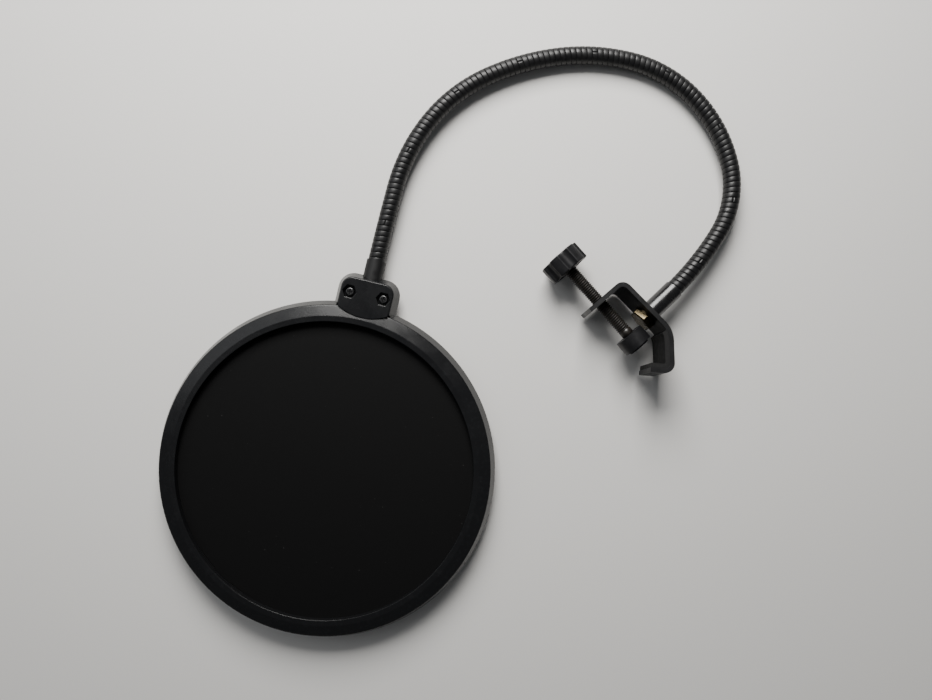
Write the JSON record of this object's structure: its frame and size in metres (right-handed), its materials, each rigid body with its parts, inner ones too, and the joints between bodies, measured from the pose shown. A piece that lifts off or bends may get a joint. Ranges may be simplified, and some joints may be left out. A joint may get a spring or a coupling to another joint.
{
  "type": "pop filter",
  "caption": "Round screen for taming breath noise at a microphone: two stretched nylon screens in a split ring on a bendable gooseneck with a screw clamp.",
  "frame": {"origin": "centre of the ring, on the plane its rear face lies on", "axes": "+Z is the ring's axis, out of the front screen; +Y runs from the ring's centre out along the neck socket; +X is to the right of that, the side the gooseneck curls to"},
  "size_m": [0.2336, 0.2978, 0.0246],
  "materials": {
    "shell_plastic": "satin, fine moulded grain",
    "hoop_plastic": "plain moulded",
    "screen_nylon": "fine woven nylon",
    "black_screw": "black oxide",
    "zinc_steel": "zinc plated",
    "neck_winding": "semi-gloss black",
    "spring_steel": "oiled spring wire",
    "sleeve_black": "black, satin",
    "yellow_zinc": "yellow passivated",
    "bracket_paint": "satin black paint",
    "liner_rubber": "matt",
    "knob_plastic": "satin"
  },
  "bodies": {
    "clamp": {"bracket": "bracket_paint", "jaw_liner": "liner_rubber"},
    "neck_9": {"gooseneck_9": "neck_winding", "inner_spring_9": "spring_steel", "lower_sleeve": "sleeve_black", "swivel_bolt": "yellow_zinc", "swivel_washer": "zinc_steel"},
    "neck_8": {"gooseneck_8": "neck_winding", "inner_spring_8": "spring_steel"},
    "neck_7": {"gooseneck_7": "neck_winding", "inner_spring_7": "spring_steel"},
    "neck_6": {"gooseneck_6": "neck_winding", "inner_spring_6": "spring_steel"},
    "neck_5": {"gooseneck_5": "neck_winding", "inner_spring_5": "spring_steel"},
    "neck_4": {"gooseneck_4": "neck_winding", "inner_spring_4": "spring_steel"},
    "neck_3": {"gooseneck_3": "neck_winding", "inner_spring_3": "spring_steel"},
    "neck_2": {"gooseneck_2": "neck_winding", "inner_spring_2": "spring_steel"},
    "head": {"front_ring": "shell_plastic", "rear_ring": "shell_plastic", "spacer_hoop": "hoop_plastic", "front_screen": "screen_nylon", "rear_screen": "screen_nylon", "tab_screws": "black_screw", "tab_nuts": "zinc_steel", "upper_sleeve": "sleeve_black", "gooseneck_1": "neck_winding", "inner_spring_1": "spring_steel"},
    "pad": {"swivel_pad": "knob_plastic", "pad_tip": "liner_rubber"},
    "thumbscrew": {"thumbscrew": "black_screw", "knob": "knob_plastic"}
  },
  "joints": [
    {"name": "clamp_swivel", "type": "hinge", "parent": "clamp", "child": "neck_9", "pos_m": [0.12622, 0.10356, 0.01206], "axis": [-0.5459, -0.8326, 0.0936], "range_deg": [-90, 90]},
    {"name": "neck_curl_8", "type": "hinge", "parent": "neck_9", "child": "neck_8", "pos_m": [0.14967, 0.14706, 0.00807], "axis": [-0.025, 0.0663, 0.9975], "range_deg": [-18, 8]},
    {"name": "neck_lift_7", "type": "hinge", "parent": "neck_8", "child": "neck_7", "pos_m": [0.14764, 0.18056, 0.00619], "axis": [-0.8987, -0.4386, -0.0025], "range_deg": [-12, 12]},
    {"name": "neck_curl_6", "type": "hinge", "parent": "neck_7", "child": "neck_6", "pos_m": [0.12527, 0.20627, 0.00486], "axis": [-0.0122, 0.0295, 0.9995], "range_deg": [-18, 8]},
    {"name": "neck_lift_5", "type": "hinge", "parent": "neck_6", "child": "neck_5", "pos_m": [0.09279, 0.21635, 0.0044], "axis": [-0.0087, -0.9996, 0.0255], "range_deg": [-12, 12]},
    {"name": "neck_curl_4", "type": "hinge", "parent": "neck_5", "child": "neck_4", "pos_m": [0.05904, 0.21025, 0.00468], "axis": [0.0061, 0.0264, 0.9996], "range_deg": [-18, 8]},
    {"name": "neck_lift_3", "type": "hinge", "parent": "neck_4", "child": "neck_3", "pos_m": [0.0292, 0.19321, 0.00531], "axis": [0.6225, -0.7824, 0.0169], "range_deg": [-12, 12]},
    {"name": "neck_curl_2", "type": "hinge", "parent": "neck_3", "child": "neck_2", "pos_m": [0.00816, 0.16628, 0.00606], "axis": [0.0029, 0.0223, 0.9997], "range_deg": [-18, 8]},
    {"name": "neck_lift_1", "type": "hinge", "parent": "neck_2", "child": "head", "pos_m": [0.00045, 0.1329, 0.00662], "axis": [0.9997, -0.0262, 0.0001], "range_deg": [-12, 12]},
    {"name": "jaw_travel", "type": "slide", "parent": "clamp", "child": "pad", "axis": [0.8142, -0.5766, 0.0672], "range_m": [-0.015, 0.004]},
    {"name": "thumbscrew_turn", "type": "hinge", "parent": "pad", "child": "thumbscrew", "pos_m": [0.11934, 0.09188, 0.01338], "axis": [0.8142, -0.5766, 0.0672], "range_deg": [-5401, 1441]}
  ],
  "couplings": [
    {"joint": "thumbscrew_turn", "follows": "jaw_travel", "rad_per_m": 6283.2}
  ]
}
